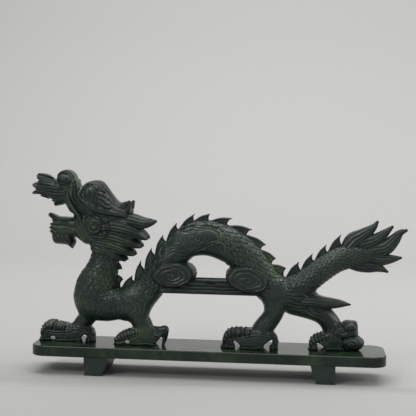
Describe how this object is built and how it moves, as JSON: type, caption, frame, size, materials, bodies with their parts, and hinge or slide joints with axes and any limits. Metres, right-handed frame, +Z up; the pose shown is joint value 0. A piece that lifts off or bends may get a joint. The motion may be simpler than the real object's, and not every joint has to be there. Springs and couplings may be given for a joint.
{
  "type": "jade dragon figurine",
  "caption": "Carved dark green jade dragon with an arched scaly body, standing on a polished jade board with two bracket feet; lifts off its stand.",
  "frame": {"origin": "bottom centre of the whole piece, on the table under the board", "axes": "+X along the board towards the dragon's tail, -Y the side seen from the front, +Z up"},
  "size_m": [0.31, 0.0556, 0.1679],
  "materials": {
    "jade_dragon": "waxed",
    "jade_board": "polished",
    "jade_foot": "satin"
  },
  "bodies": {
    "stand": {"base_board": "jade_board", "left_foot": "jade_foot", "right_foot": "jade_foot"},
    "dragon": {"back_crest": "jade_dragon", "back_fall": "jade_dragon", "back_rise": "jade_dragon", "beard": "jade_dragon", "cheeks": "jade_dragon", "chest": "jade_dragon", "cloud_band": "jade_dragon", "cloud_curl": "jade_dragon", "crest_spines": "jade_dragon", "ears": "jade_dragon", "eyes": "jade_dragon", "face": "jade_dragon", "fall_spines": "jade_dragon", "forehead": "jade_dragon", "front_left_claws": "jade_dragon", "front_left_leg": "jade_dragon", "front_left_paw": "jade_dragon", "front_right_claws": "jade_dragon", "front_right_leg": "jade_dragon", "front_right_paw": "jade_dragon", "heel_ball": "jade_dragon", "heel_curl": "jade_dragon", "hock_tuft": "jade_dragon", "horns": "jade_dragon", "left_cloud_disc": "jade_dragon", "lip_curl": "jade_dragon", "loin": "jade_dragon", "lower_jaw": "jade_dragon", "mane": "jade_dragon", "neck": "jade_dragon", "neck_spines": "jade_dragon", "nose": "jade_dragon", "palm_pegs": "jade_dragon", "rear_left_claws": "jade_dragon", "rear_left_leg": "jade_dragon", "rear_left_paw": "jade_dragon", "rear_right_claws": "jade_dragon", "rear_right_leg": "jade_dragon", "rear_right_paw": "jade_dragon", "right_cloud_disc": "jade_dragon", "rise_spines": "jade_dragon", "rump": "jade_dragon", "shoulder": "jade_dragon", "snout": "jade_dragon", "snout_fan": "jade_dragon", "tail": "jade_dragon", "tail_flame_1": "jade_dragon", "tail_flame_2": "jade_dragon", "tail_flame_3": "jade_dragon", "tail_flame_4": "jade_dragon", "tail_flame_5": "jade_dragon", "tail_spines": "jade_dragon", "tail_tip": "jade_dragon", "whiskers": "jade_dragon"}
  },
  "joints": [
    {"name": "dragon_lift", "type": "slide", "parent": "stand", "child": "dragon", "axis": [0, 0, 1], "range_m": [0, 0.04]}
  ]
}
